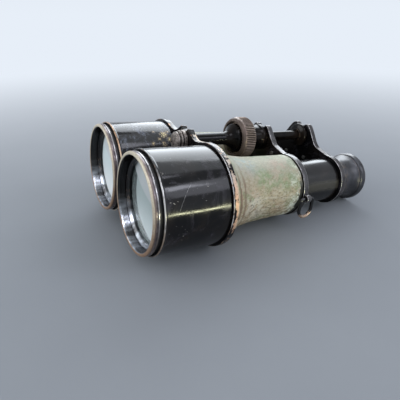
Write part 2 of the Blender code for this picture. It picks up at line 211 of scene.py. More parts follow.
BLACK = (0.0032, 0.0032, 0.0038)
BROWN_BLACK = (0.024, 0.0165, 0.0115)
COPPER = (0.56, 0.31, 0.18)
CREAM_BRASS = (0.72, 0.58, 0.42)
GOLD = (0.62, 0.52, 0.26)
WORN_METALLIC = 0.55  # the enamel's worn places are dulled metal


def enamel(name, wear=0.5, wear_colours=(COPPER, CREAM_BRASS), gloss=0.11, smudge=0.5, marks=0.3, brown=0.3,
           patches=(), wear_scale=0.3, zones=(), mottle=0.0, level=0.3):
    """Black japan over brass: glossy, scratched, and worn to the metal at the edges.

    Each zone adds a finish of its own: a function of the look that gives its share, colour, roughness and
    metallic value. A patch is a worn spot: its centre and radius."""
    look = Look(name)
    cloud = look.noise(0.055, 4, 0.6, distortion=0.6)
    fine = look.noise(0.9, 3)
    base = look.mix(look.mul(look.ramp(cloud, 0.4, 0.75), brown), BLACK, BROWN_BLACK)
    ticks = look.ramp(look.cells(0.16, place=look.stretched(6.0, 0.8, 2.0, 0.7)), 0.09, 0.03)
    specks = look.math("MAXIMUM", look.ramp(look.cells(0.42), 0.085, 0.04), ticks)
    specks = look.mul(specks, look.ramp(look.noise(0.16, 2), 0.44, 0.58))
    lines = look.most(look.hairlines(0.05, 0.5, 0.40), look.hairlines(0.09, -0.4, 0.38))
    marked = look.mul(look.most(specks, lines), marks)
    gone = look.plus(look.edge, look.mul(look.drift(wear_scale, 5, 0.6), 1.9))
    gone = look.ramp(gone, 1.12 - wear, 1.18 - wear)
    metal = look.mix(look.ramp(look.noise(0.5, 4), 0.35, 0.7), wear_colours[0], wear_colours[1])
    metal = look.mix(look.ramp(look.noise(1.7, 3), 0.54, 0.68), metal, BROWN_BLACK)
    for point, radius in patches:
        spot = look.near(point, radius, 0.9, ragged=11.0)
        spot = look.mul(spot, look.ramp(look.noise(0.9, 5, 0.7), 0.46, 0.56))
        metal = look.mix(spot, metal, GOLD)
        gone = look.most(gone, spot)
    if mottle:
        stain = look.mul(look.ramp(look.noise(0.11, 5, 0.7, distortion=1.2), 0.46, 0.66), mottle)
        stain = look.mul(stain, look.ramp(look.noise(0.8, 4, 0.7), 0.40, 0.56))
        base = look.mix(stain, base, (0.15, 0.165, 0.205))
    colour = look.mix(marked, base, (0.42, 0.40, 0.36))
    colour = look.mix(gone, colour, metal)
    rough = look.plus(gloss, look.mul(look.ramp(cloud, 0.35, 0.8), smudge * 0.1))
    rough = look.plus(rough, look.mul(marked, 0.2))
    rough = look.plus(rough, look.mul(gone, look.ramp(fine, 0.3, 0.7, 0.16, 0.34)))
    metallic = look.mul(gone, WORN_METALLIC)
    for zone in zones:
        share, tint, zone_rough, zone_metal = zone(look)
        colour = look.mix(share, colour, tint)
        rough = look.blend(share, rough, zone_rough)
        metallic = look.blend(share, metallic, zone_metal)
    height = look.plus(look.mul(look.noise(0.35, 2), 0.7), look.mul(fine, 0.08))
    normal = look.bump(height, 0.035, 0.5)
    normal = look.bump(look.plus(gone, lines), -0.05, 0.6, normal)
    look.set(Base_Color=colour, Roughness=rough, Metallic=metallic, Normal=normal)
    look.shader.inputs["Specular IOR Level"].default_value = level
    return look.material


def rim_face(look):
    """The objective ring's rounded front, rubbed to pale brass above and browner below."""
    x, y, z = look.split()
    blots = look.drift(0.35, 4)
    share = look.mul(look.ramp(look.plus(y, look.mul(blots, 0.7)), 0.45, 0.1),
                     look.ramp(look.around(), 28.0, 28.2))
    share = look.mul(share, look.ramp(look.noise(0.7, 4, 0.6), 0.72, 0.60, 0.35, 1.0))
    height = look.ramp(look.plus(z, look.mul(blots, 22)), -20, 17)
    tint = look.mix(height, (0.36, 0.215, 0.13), (0.66, 0.58, 0.44))
    brown = look.mix(height, (0.13, 0.08, 0.06), (0.22, 0.16, 0.135))
    tint = look.mix(look.ramp(look.plus(y, look.mul(blots, 0.6)), -0.55, -0.25), tint, brown)
    tint = look.mix(look.mul(look.ramp(look.noise(1.6, 4), 0.52, 0.7), 0.5), tint, (0.18, 0.13, 0.09))
    return share, tint, 0.4, 0.3


def rim_side(look):
    """The ring's side: enamel thinned to a purplish grey."""
    x, y, z = look.split()
    share = look.mul(look.ramp(y, 0.0, 0.4), look.ramp(look.around(), 29.4, 29.9))
    share = look.mul(share, look.ramp(look.noise(0.4, 4), 0.75, 0.4, 0.35, 0.95))
    tint = look.mix(look.ramp(look.noise(0.25, 4), 0.4, 0.65), (0.12, 0.10, 0.11), (0.22, 0.18, 0.175))
    tint = look.mix(look.ramp(y, 1.45, 1.6), tint,
                    look.mix(look.ramp(z, -14, 8), (0.16, 0.12, 0.1), (0.42, 0.40, 0.40)))
    return share, tint, 0.26, 0.5


def painted_reflection_wall(look):
    """The lower half of the cell's inside: a streaky metallic shine placed there as a painted reflection."""
    x, y, z = look.split()
    inside = look.mul(look.ramp(look.around(), 28.1, 27.95), look.ramp(y, 7.5, 7.0))
    streaks = look.drift(0.16, 3, 0.6, place=look.stretched(1.0, 0.2, 1.0))
    share = look.ramp(look.plus(z, look.mul(streaks, 12)), -8, -16)
    share = look.mul(share, inside)
    shade = look.noise(0.14, 2, 0.5, place=look.stretched(1.0, 0.3, 1.0))
    tint = look.mix(look.ramp(shade, 0.35, 0.65), (0.62, 0.65, 0.70), (0.13, 0.128, 0.132))
    return share, tint, 0.17, 0.9


def lip_wear_and_highlight(look):
    """The hood's front edge, rubbed bright: partly wear, and partly a painted highlight on the lip's rounding,
    palest towards the top.
    """
    x, y, z = look.split()
    blots = look.drift(0.3, 4)
    share = look.mul(look.ramp(y, 5.15, 4.85), look.ramp(look.around(), 30.9, 31.05))
    share = look.mul(share, look.ramp(blots, 0.2, 0.08, 0.3, 0.95))
    share = look.mul(share, look.ramp(look.plus(z, look.mul(blots, 12)), 27, 19, 0.12, 1.0))
    # Pale above: painted highlight
    tint = look.mix(look.ramp(look.plus(z, look.mul(blots, 20)), -12, 10), (0.36, 0.27, 0.2),
                    (0.70, 0.68, 0.65))
    return share, tint, 0.3, 0.4


def warm_lip(look):
    """The right hood's front edge: coppery above, brassy cream lower down."""
    x, y, z = look.split()
    share = look.mul(look.ramp(y, 5.3, 4.9), look.ramp(look.around(), 30.8, 31.0))
    share = look.mul(share, look.ramp(look.noise(0.3, 4), 0.3, 0.45, 0.35, 0.95))
    tint = look.mix(look.ramp(z, 12, 24), (0.82, 0.66, 0.46), (0.56, 0.36, 0.22))
    return share, tint, 0.35, 0.4


def long_scratch(look):
    """One long thin scratch that curves down the hood's outer side."""
    x, y, z = look.split()
    drop = look.minus(z, 7.0)
    curve = look.plus(look.mul(drop, 0.5),
                      look.mul(look.math("POWER", look.math("MAXIMUM", drop, 0.0), 3.0), 0.0013))
    away = look.math("ABSOLUTE", look.minus(look.minus(y, curve), 12.7))
    share = look.mul(look.ramp(away, 0.16, 0.05), look.mul(look.ramp(z, 6.5, 8.5), look.ramp(z, 20.0, 18.5)))
    share = look.mul(look.mul(share, look.ramp(x, 0, 4)), look.ramp(look.noise(0.5, 3), 0.35, 0.55, 0.1, 0.6))
    return share, (0.45, 0.44, 0.42), 0.35, 0.3


def haze_and_sheen(look):
    """Handling marks: a thin grey film in cloudy patches, which on the bridges' faces also stands for a painted
    sheen of reflection.
    """
    film = look.noise(0.075, 5, 0.65, distortion=1.0)
    share = look.mul(look.ramp(film, 0.5, 0.7), look.ramp(look.noise(0.5, 4, 0.7), 0.3, 0.6, 0.4, 1.0))
    return look.mul(share, 0.8), (0.042, 0.038, 0.046), 0.3, 0.0


def front_wear_and_painted_light(look):
    """The front bridge's rim, left barrel: silvery at the top and along the front edge, partly worn metal and
    partly a painted highlight, chipped, and bare brass lower down, with painted shade at the very bottom.
    """
    x, y, z = look.split()
    big = look.drift(0.13, 5, 0.6, distortion=0.6)
    small = look.drift(0.7, 5, 0.65)
    amount = look.plus(look.ramp(z, 22, 2, 0.55, 0.88), look.ramp(z, 31.7, 32.6, 0.0, -0.3))
    amount = look.plus(amount, look.mul(look.mul(look.ramp(z, 16, 13), look.ramp(z, 5, 9)), -0.30))
    # Less wear towards the bottom, where the black stays as painted shade
    amount = look.plus(amount, look.ramp(z, -4, -16, 0.0, -0.42))
    side = look.ramp(look.plus(y, look.plus(look.mul(big, 5.0), look.mul(small, 1.5))), 46.8, 47.2)
    value = look.plus(look.plus(amount, look.mul(big, 1.9)), look.mul(small, 1.3))
    share = look.mul(look.mul(look.ramp(value, 0.46, 0.52), side), look.ramp(look.edge, 0.4, 0.7))
    share = look.mul(share, look.ramp(x, 0, 8))
    tint = look.mix(look.ramp(look.plus(z, look.mul(big, 20)), 12, 27), (0.80, 0.50, 0.33),
                    (0.60, 0.53, 0.45))
    tint = look.mix(look.ramp(look.plus(y, look.mul(small, 1.5)), 48.2, 48.9), tint, (0.66, 0.53, 0.38))
    tint = look.mix(look.mul(look.ramp(look.noise(1.3, 4), 0.52, 0.66), 0.7), tint, (0.16, 0.09, 0.055))
    # Darker and browner at the bottom: painted shade
    tint = look.mix(look.ramp(z, -4, -14, 0.0, 0.75), tint, (0.13, 0.08, 0.055))
    # A thin silvery line on the front edge, partly wear and partly a painted highlight
    line = look.mul(look.ramp(y, 46.05, 45.9), look.mul(look.ramp(z, -10, -4), look.ramp(z, 32, 29)))
    line = look.mul(look.mul(line, look.ramp(look.edge, 0.5, 0.8)), look.ramp(x, 0, 8))
    line = look.mul(line, look.ramp(look.noise(0.45, 4), 0.36, 0.5, 0.2, 1.0))
    tint = look.mix(line, tint, (0.66, 0.64, 0.62))
    return look.most(share, line), tint, 0.5, 0.25


def tube_brown_band(look):
    """A brownish band along the draw tube's side."""
    x, y, z = look.split()
    place = look.plus(z, look.mul(look.drift(0.12, 4), 3))
    share = look.mul(look.ramp(place, -3.5, 0.5), look.ramp(place, 6.5, 3.0))
    return look.mul(share, 0.8), (0.085, 0.078, 0.058), 0.3, 0.2


def bevel_wear_and_highlight(look):
    """A bridge's rounded edges, rubbed silvery, which also paints their thin highlight lines, beside a greyer rim.
    """
    share = look.mul(look.ramp(look.edge, 0.80, 0.90), look.ramp(look.noise(0.14, 4), 0.68, 0.52, 0.25, 1.0))
    tint = look.mix(look.ramp(look.noise(0.4, 4), 0.4, 0.62), (0.62, 0.61, 0.61), (0.34, 0.31, 0.28))
    return share, tint, 0.28, 0.5


def grey_wall(look):
    """The middle bridge's rim, thinned to grey."""
    x, y, z = look.split()
    share = look.mul(look.ramp(look.edge, 0.45, 0.7), look.ramp(look.noise(0.1, 4), 0.7, 0.35, 0.3, 0.85))
    return look.mul(share, look.ramp(z, -9, -3)), (0.12, 0.115, 0.12), 0.32, 0.4


def dull_wall(look):
    """The same on the eyepiece bridge, a little duller."""
    return look.mul(grey_wall(look)[0], 0.85), (0.13, 0.12, 0.122), 0.34, 0.3


# Centre in mm from the barrel's axis, radius, colour, strength
STAINS = (
    ((9, 67, 21), 7.5, (0.40, 0.51, 0.50), 0.75),
    ((11, 94, 19), 7.5, (0.56, 0.42, 0.32), 0.7),
    ((14, 64, 17), 5.0, (0.50, 0.38, 0.28), 0.6),
    ((17, 77, 13), 6.0, (0.24, 0.35, 0.14), 0.75),
    ((18, 96, 10), 5.0, (0.24, 0.36, 0.16), 0.75),
    ((21, 100, -5), 4.0, (0.26, 0.38, 0.18), 0.8),
    ((24, 67, -1), 6.5, (0.86, 0.81, 0.66), 0.8),
    ((22, 73, -10), 5.5, (0.74, 0.70, 0.57), 0.7),
)


def leather():
    """The worn covering: khaki and grey-green, grained, with brown rings in front and verdigris behind."""
    look = Look("look_faded_leather")
    x, y, z = look.split()
    clouds = look.noise(0.06, 5, 0.6, distortion=0.8)
    blots = look.noise(0.085, 5, 0.62, distortion=0.7)
    streaks = look.noise(0.35, 4, 0.65, place=look.stretched(1.0, 0.5, 1.0, 0.5))
    speckle = look.noise(0.8, 5, 0.8, place=look.stretched(1.0, 0.6, 1.0, 0.5))
    crumbs = look.noise(1.5, 4, 0.8)
    stray = look.drift(0.2, 5, 0.65)
    colour = look.mix(look.ramp(clouds, 0.36, 0.62), (0.60, 0.52, 0.32), (0.54, 0.40, 0.25))
    colour = look.mix(look.mul(look.ramp(blots, 0.50, 0.64), 0.85), colour, (0.33, 0.38, 0.18))
    colour = look.mix(look.mul(look.ramp(streaks, 0.52, 0.68), 0.5), colour, (0.68, 0.61, 0.45))
    # Greyer and paler on the upper side, partly as a painted highlight, and browner towards the table
    top = look.ramp(look.plus(z, look.mul(stray, 16)), 4, 22)
    colour = look.mix(look.mul(top, 0.6), colour, (0.46, 0.53, 0.44))
    broken = look.ramp(look.noise(0.22, 5, 0.65), 0.36, 0.58)
    for point, radius, tint, strength in STAINS:
        stain = look.mul(look.near(point, radius, 5.0, ragged=7.0), look.mul(broken, strength))
        colour = look.mix(stain, colour, tint)
    # Browner and darker towards the table, partly as painted shade, and the dark speckle is heavier there too
    low = look.ramp(look.plus(z, look.mul(stray, 16)), 4, -16)
    colour = look.mix(look.mul(low, 0.35), colour, (0.28, 0.215, 0.12))
    grain = look.ramp(look.plus(z, look.mul(stray, 20)), 20, -8, 0.15, 0.85)
    colour = look.mix(look.mul(look.ramp(speckle, 0.49, 0.60), grain), colour, (0.11, 0.08, 0.035))
    slant = look.noise(0.5, 4, 0.7, place=look.stretched(1.0, 0.35, 1.0, 0.9))
    pale = look.mul(look.ramp(slant, 0.50, 0.62), look.ramp(z, 14, 0, 0.15, 0.75))
    colour = look.mix(pale, colour, (0.76, 0.71, 0.53))
    colour = look.mix(look.mul(look.ramp(crumbs, 0.54, 0.64), 0.5), colour, (0.84, 0.79, 0.60))
    # Brown rings where the cover meets the front bridge, running round the barrel
    rings = look.math("SINE", look.plus(look.mul(y, 1.5), look.mul(stray, 5)))
    front = look.ramp(look.plus(y, look.mul(stray, 9)), 66, 57)
    front = look.mul(front, look.ramp(z, 24, 12, 0.3, 1.0))
    colour = look.mix(look.mul(front, look.ramp(rings, -0.3, 0.8, 0.15, 0.85)), colour, (0.23, 0.145, 0.09))
    green_line = look.mul(look.ramp(y, 56.0, 53.5), look.ramp(look.noise(0.3, 4), 0.42, 0.58))
    colour = look.mix(look.mul(green_line, 0.6), colour, (0.22, 0.30, 0.15))
    # Verdigris at the rear edge, below
    crust_place = look.plus(y, look.mul(look.drift(0.17, 5, 0.7), 24))
    crust_place = look.plus(crust_place, look.ramp(z, 14, -12, -5, 3))
    crust = look.mul(look.ramp(crust_place, 99.0, 104.0), look.ramp(look.noise(0.4, 5, 0.7), 0.44, 0.54))
    for point, radius in (((18.5, 101, 9), 2.0), ((20.5, 103, -6), 3.5)):
        flake = look.mul(look.near(point, radius, 1.5, ragged=9.0),
                         look.ramp(look.noise(0.6, 5, 0.7), 0.40, 0.50))
        crust = look.most(crust, flake)
    colour = look.mix(crust, colour, (0.88, 0.91, 0.72))
    hem_place = look.plus(y, look.mul(look.drift(0.3, 5, 0.7), 7))
    hem_place = look.plus(hem_place, look.ramp(z, 12, -8, -0.6, 1.2))
    hem = look.mul(look.ramp(hem_place, 106.4, 107.0), look.ramp(z, 15, 5, 0.2, 1.0))
    colour = look.mix(hem, colour, (0.03, 0.03, 0.025))
    pits = look.cells(1.15, feature="SMOOTH_F1")
    wrinkles = look.cells(0.5, feature="DISTANCE_TO_EDGE")
    height = look.plus(look.mul(pits, 0.5), look.ramp(wrinkles, 0.0, 0.12, 0.0, 0.4))
    height = look.plus(height, look.mul(speckle, 1.0))
    normal = look.bump(height, 0.16, 0.6)
    normal = look.bump(look.plus(look.mul(crust, 0.6), look.mul(rings, look.mul(front, 0.3))), 0.3, 0.8,
                       normal)
    rough = look.ramp(speckle, 0.3, 0.7, 0.5, 0.78)
    look.set(Base_Color=colour, Roughness=rough, Normal=normal)
    look.shader.inputs["Specular IOR Level"].default_value = 0.3
    return look.material


def bronze():
    """The wheel: oxidised brown brass, lighter on its edges and on the crests of the knurl."""
    look = Look("look_oxidised_brass")
    blotch = look.noise(0.28, 5, 0.6)
    fine = look.noise(1.6, 4, 0.6)
    colour = look.mix(look.ramp(blotch, 0.35, 0.7), (0.21, 0.156, 0.128), (0.32, 0.245, 0.20))
    colour = look.mix(look.mul(look.ramp(fine, 0.5, 0.7), 0.5), colour, (0.085, 0.06, 0.05))
    worn = look.ramp(look.plus(look.edge, look.mul(look.minus(fine, 0.5), 1.0)), 0.42, 0.8)
    colour = look.mix(worn, colour, (0.46, 0.38, 0.31))
    # The front chamfer is darker than the knurl
    x, y, z = look.split()
    colour = look.mix(look.mul(look.ramp(y, 87.0, 86.4), 0.7), colour, (0.085, 0.062, 0.052))
    dirt = look.ramp(look.edge, 0.0, -0.6)
    colour = look.mix(dirt, colour, (0.03, 0.022, 0.017))
    rough = look.plus(look.ramp(blotch, 0.3, 0.7, 0.3, 0.42), look.mul(dirt, 0.3))
    look.set(Base_Color=colour, Roughness=rough, Metallic=0.3, Normal=look.bump(fine, 0.03, 0.6))
    look.shader.inputs["Specular IOR Level"].default_value = 0.2
    return look.material


def ebonite():
    """Dull black hard rubber, greyer where it was handled and brown round its neck, with painted shade that
    darkens it towards the bottom.
    """
    look = Look("look_eyecup_ebonite")
    x, y, z = look.split()
    cloud = look.noise(0.12, 5, 0.6, distortion=0.5)
    fine = look.noise(1.4, 4, 0.6)
    colour = look.mix(look.ramp(cloud, 0.35, 0.7), (0.018, 0.018, 0.022), (0.060, 0.062, 0.075))
    # Much darker towards the bottom: painted shade
    colour = look.mix(look.mul(look.ramp(z, 3, -9), 0.93), colour, (0.004, 0.004, 0.005))
    colour = look.mix(look.mul(look.ramp(fine, 0.55, 0.75), 0.3), colour, (0.10, 0.095, 0.09))
    neck = look.mul(look.ramp(y, 163.5, 158.0), look.ramp(look.noise(0.4, 4), 0.42, 0.62))
    colour = look.mix(look.mul(neck, 0.8), colour, (0.14, 0.10, 0.065))
    worn = look.ramp(look.plus(look.edge, look.mul(look.drift(0.5, 4), 1.6)), 0.55, 0.95)
    # The rubbed brown is kept off the lower part, which stays dark as painted shade
    worn = look.mul(worn, look.ramp(z, -8, 0))
    colour = look.mix(look.mul(worn, 0.9), colour, (0.30, 0.21, 0.15))
    look.shader.inputs["Specular IOR Level"].default_value = 0.48
    look.set(
        Base_Color=colour, Roughness=look.ramp(cloud, 0.3, 0.7, 0.26, 0.38),
        Normal=look.bump(look.plus(look.mul(fine, 0.4), cloud), 0.05, 0.5),
    )
    return look.material


def steel():
    look = Look("look_screw_steel")
    fine = look.noise(3.0, 4, 0.6)
    colour = look.mix(look.ramp(fine, 0.4, 0.7), (0.42, 0.41, 0.39), (0.16, 0.15, 0.13))
    look.set(Base_Color=colour, Metallic=0.9, Roughness=look.ramp(fine, 0.3, 0.7, 0.25, 0.4),
             Normal=look.bump(fine, 0.02, 0.4))
    return look.material


def brass_inside(name):
    """Plain turned brass, for the pieces inside."""
    look = Look(name, from_object=True)
    cloud = look.noise(0.15, 4, 0.6)
    turning = look.noise(2.2, 3, 0.6, place=look.stretched(0.1, 1.0, 0.1))
    colour = look.mix(look.ramp(cloud, 0.35, 0.7), (0.46, 0.29, 0.12), (0.25, 0.16, 0.08))
    look.set(Base_Color=colour, Metallic=1.0, Roughness=look.ramp(turning, 0.3, 0.7, 0.28, 0.42),
             Normal=look.bump(turning, 0.02, 0.5))
    return look.material


def blackened(name, from_object=True):
    """Dead black paint over brass, for the barrel's inside and its stops."""
    look = Look(name, from_object)
    cloud = look.noise(0.1, 4, 0.6)
    fine = look.noise(1.0, 4, 0.6)
    colour = look.mix(look.ramp(cloud, 0.4, 0.7), (0.008, 0.008, 0.009), (0.03, 0.026, 0.022))
    look.set(Base_Color=colour, Roughness=look.ramp(fine, 0.3, 0.7, 0.35, 0.55), Metallic=0.2,
             Normal=look.bump(fine, 0.03, 0.5))
    return look.material


def felt():
    look = Look("look_guide_felt", from_object=True)
    fibres = look.noise(3.0, 5, 0.7)
    colour = look.mix(look.ramp(fibres, 0.35, 0.7), (0.03, 0.022, 0.022), (0.09, 0.07, 0.065))
    look.set(Base_Color=colour, Roughness=0.95, Normal=look.bump(fibres, 0.15, 0.8), Sheen_Weight=0.4)
    return look.material


def glass(name, haze_and_sheen=0.3, shade=None, upper=(0.50, 0.58, 0.57), lower=(0.82, 0.89, 0.88)):
    """Old polished glass with a pale film on it, which also stands for a painted reflection, paler lower down and
    with a painted bright band across the top. The film thins out beyond a distance from a point (x, z), which
    paints a darker crescent.
    """
    look = Look(name)
    x, y, z = look.split()
    # The film is a little stronger lower down: painted reflection
    share = look.ramp(look.plus(z, look.mul(x, -0.3)), 9, -21, haze_and_sheen * 0.86, haze_and_sheen)
    # A painted bright band across the top
    band = look.ramp(look.plus(z, look.mul(x, 0.35)), 7.4, 8.4)
    if shade:
        point, radius = shade
        away = look.math("SQRT", look.plus(look.math("POWER", look.minus(x, point[0]), 2.0),
                                           look.math("POWER", look.minus(z, point[1]), 2.0)))
        # Beyond the radius the film falls away: a painted darker crescent
        clear = look.ramp(away, radius - 0.7, radius + 0.7, 1.0, 0.2)
        share = look.mul(share, look.math("MAXIMUM", clear, band))
    specks = look.mul(look.ramp(look.cells(0.5), 0.06, 0.02), look.ramp(look.noise(0.2, 2), 0.55, 0.66))
    share = look.most(share, look.mul(specks, 0.6))
    look.set(Base_Color=(0.90, 0.97, 0.94), Roughness=0.015, IOR=1.52, Transmission_Weight=1.0)
    dull = look.add("ShaderNodeBsdfDiffuse")
    # Paler lower down: painted reflection
    tint = look.mix(look.ramp(z, 8, -18), upper, lower)
    look.link(look.mix(look.mul(band, 0.6), tint, (0.74, 0.75, 0.76)), dull.inputs["Color"])
    both = look.add("ShaderNodeMixShader")
    look.link(share, both.inputs[0])
    look.link(look.shader.outputs[0], both.inputs[1])
    look.link(dull.outputs[0], both.inputs[2])
    look.link(both.outputs[0], look.tree.nodes["Material Output"].inputs["Surface"])
    return look.material


# ---------------------------------------------------------------- meshes

def mesh_from(name, points, faces, edge, flat=None, sharp=40):
    """A smooth-shaded mesh from points in mm, with the attributes that the materials read."""
    mesh = bpy.data.meshes.new(name)
    mesh.from_pydata((np.asarray(points) * MM).tolist(), [], faces)
    mesh.attributes.new("mm", "FLOAT_VECTOR", "POINT").data.foreach_set("vector",
                                                                        np.asarray(points, "f").ravel())
    mesh.attributes.new("edge", "FLOAT", "POINT").data.foreach_set("value", np.asarray(edge, "f"))
    mesh.shade_smooth()
    mesh.set_sharp_from_angle(angle=math.radians(sharp))
    if flat is not None:
        mesh.polygons.foreach_set("use_smooth", [not f for f in flat])
    return mesh


def piece(node, mesh, material, body, at=(0, 0, 0)):
    """Puts a mesh in the place of its CAD node."""
    made = bpy.data.objects.new(f"{node}_fine", mesh)
    mesh.materials.append(material)
    bpy.context.scene.collection.objects.link(made)
    made.matrix_world = STRAIGHT @ Matrix.Translation(Vector(at) * MM)
    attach(made, body)
    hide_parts(node)


def rounded(profile, closed, radius, steps=4, support=0.3):
    """Rounds a (y, r) outline's corners. Returns (y, r, edge) rows: edge is 1 on a rounded outer corner, -1 in an
    inner one and 0 on the flats."""
    outline = np.array(profile, float)
    count = len(outline)
    following = np.roll(outline, -1, axis=0)
    turning = 1 if (outline[:, 0] * following[:, 1] - following[:, 0] * outline[:, 1]).sum() > 0 else -1
    rows = []
    for i in range(count):
        here = outline[i]
        if not closed and i in (0, count - 1):
            rows.append((*here, 0))
            continue
        before, after = here - outline[i - 1], outline[(i + 1) % count] - here
        long_before, long_after = np.linalg.norm(before), np.linalg.norm(after)
        before, after = before / long_before, after / long_after
        bend = math.atan2(before[0] * after[1] - before[1] * after[0], before @ after)
        if abs(bend) < math.radians(14):
            rows.append((*here, 0))
            continue
        reach = min(radius * math.tan(abs(bend) / 2), 0.42 * long_before, 0.42 * long_after)
        value = 1 if bend * turning > 0 else -1
        strength = min(1, abs(bend) / math.radians(50)) * value
        if long_before > 2.4 * (reach + support):
            rows.append((*(here - before * (reach + support)), 0))
        for t in np.linspace(0, 1, steps + 1):
            point = here - before * reach * (1 - t) ** 2 + after * reach * t**2
            rows.append((*point, strength * (0.45 + 2.2 * t * (1 - t))))
        if long_after > 2.4 * (reach + support):
            rows.append((*(here + after * (reach + support)), 0))
    return rows


def lathed(name, profile, radius=0.15, around=160, form=None, cuts=None, sharp=40):
    """A piece turned about +Y. A profile whose ends lie on the axis is solid, any other is a closed ring."""
    solid = profile[0][1] == 0 and profile[-1][1] == 0
    rows = np.array(rounded(profile, not solid, radius))
    if cuts:  # long straight runs are divided, for a form that changes along them
        rows = divided(rows, not solid, cuts)
    y, r, edge = rows.T
    following = np.roll(rows[:, :2], -1, axis=0)
    outwards = (y * following[:, 1] - following[:, 0] * r).sum() > 0
    angle = np.linspace(0, 2 * math.pi, around, endpoint=False)
    yy, aa = np.meshgrid(y, angle, indexing="ij")
    rr = np.repeat(r[:, None], around, 1)
    ee = np.repeat(edge[:, None], around, 1)
    if form:
        yy, rr, ee = form(yy, rr, ee, aa)
    points, index, edges = [], [], []
    for i in range(len(rows)):
        if r[i] == 0:
            index.append([len(points)] * around)
            points.append((0, y[i], 0))
            edges.append(0)
        else:
            index.append(list(range(len(points), len(points) + around)))
            ring = np.stack([rr[i] * np.cos(angle), yy[i], rr[i] * np.sin(angle)], 1)
            points.extend(ring.tolist())
            edges.extend(ee[i].tolist())
    faces = []
    last = len(rows) - 1 if solid else len(rows)
    for i in range(last):
        a, b = index[i], index[(i + 1) % len(rows)]
        for k in range(around):
            n = (k + 1) % around
            corners = [a[k], a[n], b[n], b[k]] if outwards else [a[k], b[k], b[n], a[n]]
            corners = list(dict.fromkeys(corners))
            if len(corners) > 2:
                faces.append(corners)
    return mesh_from(name, points, faces, edges, sharp=sharp)


def divided(rows, closed, cuts):
    """Adds rows so that none of the steps between them is longer than cuts millimetres."""
    found = []
    for i, row in enumerate(rows):
        found.append(row)
        if i == len(rows) - 1 and not closed:
            break
        after = rows[(i + 1) % len(rows)]
        extra = int(np.hypot(*(after[:2] - row[:2])) // cuts)
        for k in range(1, extra + 1):
            found.append(row + (after - row) * k / (extra + 1))
    return np.array(found)


def circle(centre, radius, sides):
    turns = np.linspace(0, 2 * math.pi, sides, endpoint=False)
    return [(centre[0] + radius * math.cos(a), centre[1] + radius * math.sin(a)) for a in turns]


def smooth(points, cuts=8):
    """A Catmull-Rom curve through the points."""
    p = np.array([points[0], *points, points[-1]], float)
    found = [tuple(points[0])]
    for i in range(len(points) - 1):
        a, b, c, d = p[i:i + 4]
        for t in (k / cuts for k in range(1, cuts + 1)):
            found.append(tuple(0.5 * (2 * b + (c - a) * t + (2 * a - 5 * b + 4 * c - d) * t**2
                                      + (3 * b - a - 3 * c + d) * t**3)))
    return found


def eased(crest, arc, reach):
    """Joins the crest to the ring with a hollow curve, so that no crease shows between them."""
    corner = crest[-1]
    crest = [point for point in crest if math.dist(point, corner) > reach]
    arc = [point for point in arc if math.dist(point, corner) > reach]
    first, last = crest[-1], arc[0]
    curve = []
    for t in np.linspace(0, 1, 18)[1:-1]:
        curve.append(tuple(
            (1 - t) ** 2 * a + 2 * t * (1 - t) * b + t * t * c for a, b, c in zip(first, corner, last)
        ))
    return crest + curve + arc


def bridge_outline(ring, crest, waist):
    """The outline of a bridge: crest to the left ring, round it, back along the waist, and the same mirrored."""
    crest = smooth([(x, z + COLUMN_Z) for x, z in crest])
    waist = smooth(waist)
    start = math.atan2(crest[-1][1], crest[-1][0] - BARREL_X)
    stop = math.atan2(waist[0][1], waist[0][0] - BARREL_X)
    arc = [(BARREL_X + ring * math.cos(a), ring * math.sin(a)) for a in np.linspace(start, stop, 150)[1:-1]]
    half = eased(crest, arc, 5.5) + waist
    return half + [(-x, z) for x, z in half[-2:0:-1]]


def plate_mesh(name, outlines, front, rear, bevel=0.35, wall=0.75):
    """A flat piece with rounded edges. The edge attribute is 1 on the rounding, wall on the rim and 0 on the
    faces."""
    half = (rear - front) / 2
    curve = bpy.data.curves.new(name, "CURVE")
    curve.dimensions = "2D"
    curve.fill_mode = "BOTH"
    curve.extrude = (half - bevel) * MM
    curve.bevel_depth = bevel * MM
    curve.bevel_resolution = 2
    curve.offset = -bevel * MM
    for outline in outlines:
        spline = curve.splines.new("POLY")
        spline.points.add(len(outline) - 1)
        spline.points.foreach_set("co", np.array([(x * MM, z * MM, 0, 1) for x, z in outline]).ravel())
        spline.use_cyclic_u = True
    holder = bpy.data.objects.new(name, curve)
    bpy.context.scene.collection.objects.link(holder)
    graph = bpy.context.evaluated_depsgraph_get()
    drawn = bpy.data.meshes.new_from_object(holder.evaluated_get(graph))
    shape = bmesh.new()
    shape.from_mesh(drawn)
    bmesh.ops.remove_doubles(shape, verts=shape.verts, dist=0.000001)
    bmesh.ops.recalc_face_normals(shape, faces=shape.faces)
    points = np.array([v.co for v in shape.verts]) / MM
    faces = [[v.index for v in f.verts] for f in shape.faces]
    flat = [abs(f.normal.z) > 0.999 for f in shape.faces]
    shape.free()
    bpy.data.objects.remove(holder)
    bpy.data.curves.remove(curve)
    bpy.data.meshes.remove(drawn)
    depth = (np.abs(points[:, 2]) - (half - bevel)) / bevel
    edge = np.where(depth < 0.01, wall, np.where(depth > 0.99, 0.0, 1.0))
    turned = np.stack([points[:, 0], (front + rear) / 2 - points[:, 2], points[:, 1]], 1)
    return mesh_from(name, turned, faces, edge, flat)


